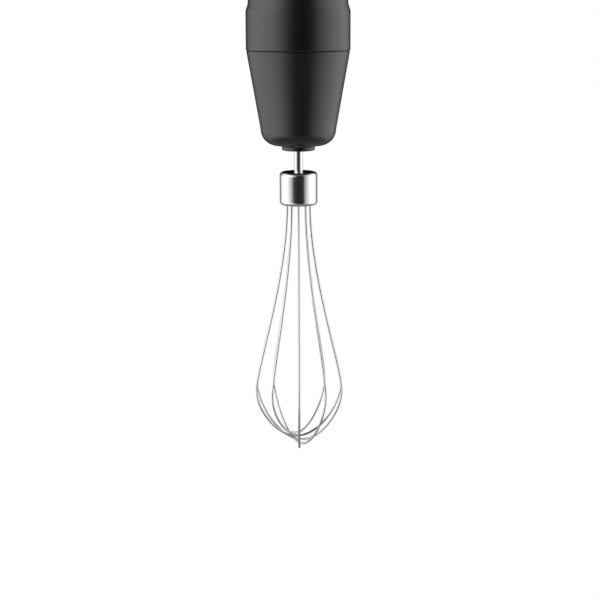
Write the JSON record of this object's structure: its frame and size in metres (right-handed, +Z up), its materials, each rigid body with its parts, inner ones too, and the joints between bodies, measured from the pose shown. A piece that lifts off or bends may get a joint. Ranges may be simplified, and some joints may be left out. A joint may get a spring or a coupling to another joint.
{
  "type": "immersion blender",
  "caption": "Hand-held immersion blender with two finger buttons, a detachable planetary reduction gearbox and a removable balloon whisk.",
  "frame": {"origin": "centre of the hand grip on the blender's axis", "axes": "+Z up along the axis towards the cord end, -Y is the front with the buttons, +X is the user's left-hand side of the front view"},
  "size_m": [0.0556, 0.0556, 0.3933],
  "materials": {
    "black_plastic": "satin black injection moulded",
    "dark_plastic": "dark grey moulded",
    "soft_black": "matt black elastomer",
    "grey_plastic": "glass-filled grey",
    "ivory_plastic": "natural acetal, satin",
    "polished_steel": "polished",
    "wire_steel": "drawn bright wire",
    "zinc_steel": "zinc plated",
    "dark_steel": "lacquered lamination stack",
    "copper": "lacquered copper",
    "bronze": "sintered bronze",
    "ferrite": "sintered ferrite, dark",
    "graphite": "pressed carbon, dull",
    "board_green": "solder mask green",
    "capacitor_yellow": "moulded box"
  },
  "bodies": {
    "motor_unit": {"front_shell": "black_plastic", "rear_shell": "black_plastic", "top_cap": "black_plastic", "cord_gland": "soft_black", "housing_screw_left": "zinc_steel", "housing_screw_right": "zinc_steel", "locking_ring": "dark_plastic", "motor_cradle": "dark_plastic", "shaft_seal": "soft_black", "release_spring_left": "zinc_steel", "release_spring_right": "zinc_steel", "motor_can": "zinc_steel", "motor_end_bell": "ivory_plastic", "magnet_left": "ferrite", "magnet_right": "ferrite", "lower_bearing": "polished_steel", "upper_bearing": "polished_steel", "brush_front": "graphite", "brush_rear": "graphite", "brush_spring_front": "bronze", "brush_spring_rear": "bronze", "lower_motor_mount": "soft_black", "upper_motor_mount": "soft_black", "circuit_board": "board_green", "suppression_capacitor": "capacitor_yellow", "rectifier": "dark_plastic", "speed_switch": "dark_plastic", "turbo_switch": "dark_plastic", "speed_button_spring": "zinc_steel", "turbo_button_spring": "zinc_steel"},
    "motor_rotor": {"motor_shaft": "polished_steel", "armature_core": "dark_steel", "armature_windings": "copper", "commutator": "copper", "cooling_fan": "grey_plastic", "drive_dog": "grey_plastic"},
    "speed_button": {"speed_button": "soft_black"},
    "turbo_button": {"turbo_button": "soft_black"},
    "release_lever_left": {"release_lever_left": "soft_black"},
    "release_lever_right": {"release_lever_right": "soft_black"},
    "whisk_gearbox": {"gearbox_housing": "black_plastic", "gearbox_cover": "dark_plastic", "cover_screw_front": "zinc_steel", "cover_screw_rear": "zinc_steel", "input_bush": "bronze", "ring_gear": "ivory_plastic", "output_bush": "bronze"},
    "input_pinion": {"input_pinion": "ivory_plastic"},
    "planet_carrier": {"planet_carrier": "grey_plastic"},
    "planet_gear_1": {"planet_gear_1": "ivory_plastic"},
    "planet_gear_2": {"planet_gear_2": "ivory_plastic"},
    "planet_gear_3": {"planet_gear_3": "ivory_plastic"},
    "whisk": {"whisk_shaft": "polished_steel", "whisk_collar": "polished_steel", "wire_holder": "soft_black", "wire_loop_1": "wire_steel", "wire_loop_2": "wire_steel", "wire_loop_3": "wire_steel", "wire_loop_4": "wire_steel", "wire_loop_5": "wire_steel"}
  },
  "joints": [
    {"name": "motor_spin", "type": "hinge", "parent": "motor_unit", "child": "motor_rotor", "pos_m": [0, 0, -0.05], "axis": [0, 0, 1], "continuous": true},
    {"name": "speed_press", "type": "slide", "parent": "motor_unit", "child": "speed_button", "axis": [0, 1, 0], "range_m": [0, 0.002], "stiffness_N_per_m": 700, "springref_m": -0.002, "deforming": ["speed_button_spring"]},
    {"name": "turbo_press", "type": "slide", "parent": "motor_unit", "child": "turbo_button", "axis": [0, 1, 0], "range_m": [0, 0.002], "stiffness_N_per_m": 700, "springref_m": -0.002, "deforming": ["turbo_button_spring"]},
    {"name": "release_left_press", "type": "hinge", "parent": "motor_unit", "child": "release_lever_left", "pos_m": [-0.0228, 0, -0.08], "axis": [0, 1, 0], "range_deg": [0, 6], "stiffness_Nm_per_rad": 0.5, "springref_deg": -5.73, "deforming": ["release_spring_left"]},
    {"name": "release_right_press", "type": "hinge", "parent": "motor_unit", "child": "release_lever_right", "pos_m": [0.0228, 0, -0.08], "axis": [0, -1, 0], "range_deg": [0, 6], "stiffness_Nm_per_rad": 0.5, "springref_deg": -5.73, "deforming": ["release_spring_right"]},
    {"name": "gearbox_pull", "type": "slide", "parent": "motor_unit", "child": "whisk_gearbox", "axis": [0, 0, -1], "range_m": [0, 0.03]},
    {"name": "pinion_spin", "type": "hinge", "parent": "whisk_gearbox", "child": "input_pinion", "pos_m": [0, 0, -0.105], "axis": [0, 0, 1], "continuous": true},
    {"name": "carrier_spin", "type": "hinge", "parent": "whisk_gearbox", "child": "planet_carrier", "pos_m": [0, 0, -0.125], "axis": [0, 0, 1], "continuous": true},
    {"name": "planet_1_spin", "type": "hinge", "parent": "planet_carrier", "child": "planet_gear_1", "pos_m": [0.0105, 0, -0.115], "axis": [0, 0, 1], "continuous": true},
    {"name": "planet_2_spin", "type": "hinge", "parent": "planet_carrier", "child": "planet_gear_2", "pos_m": [-0.00525, 0.00909, -0.115], "axis": [0, 0, 1], "continuous": true},
    {"name": "planet_3_spin", "type": "hinge", "parent": "planet_carrier", "child": "planet_gear_3", "pos_m": [-0.00525, -0.00909, -0.115], "axis": [0, 0, 1], "continuous": true},
    {"name": "whisk_pull", "type": "slide", "parent": "planet_carrier", "child": "whisk", "axis": [0, 0, -1], "range_m": [0, 0.03]}
  ],
  "couplings": [
    {"joint": "pinion_spin", "follows": "motor_spin", "ratio": 1},
    {"joint": "carrier_spin", "follows": "motor_spin", "ratio": 0.15},
    {"joint": "planet_1_spin", "follows": "motor_spin", "ratio": -0.36429},
    {"joint": "planet_2_spin", "follows": "motor_spin", "ratio": -0.36429},
    {"joint": "planet_3_spin", "follows": "motor_spin", "ratio": -0.36429}
  ]
}
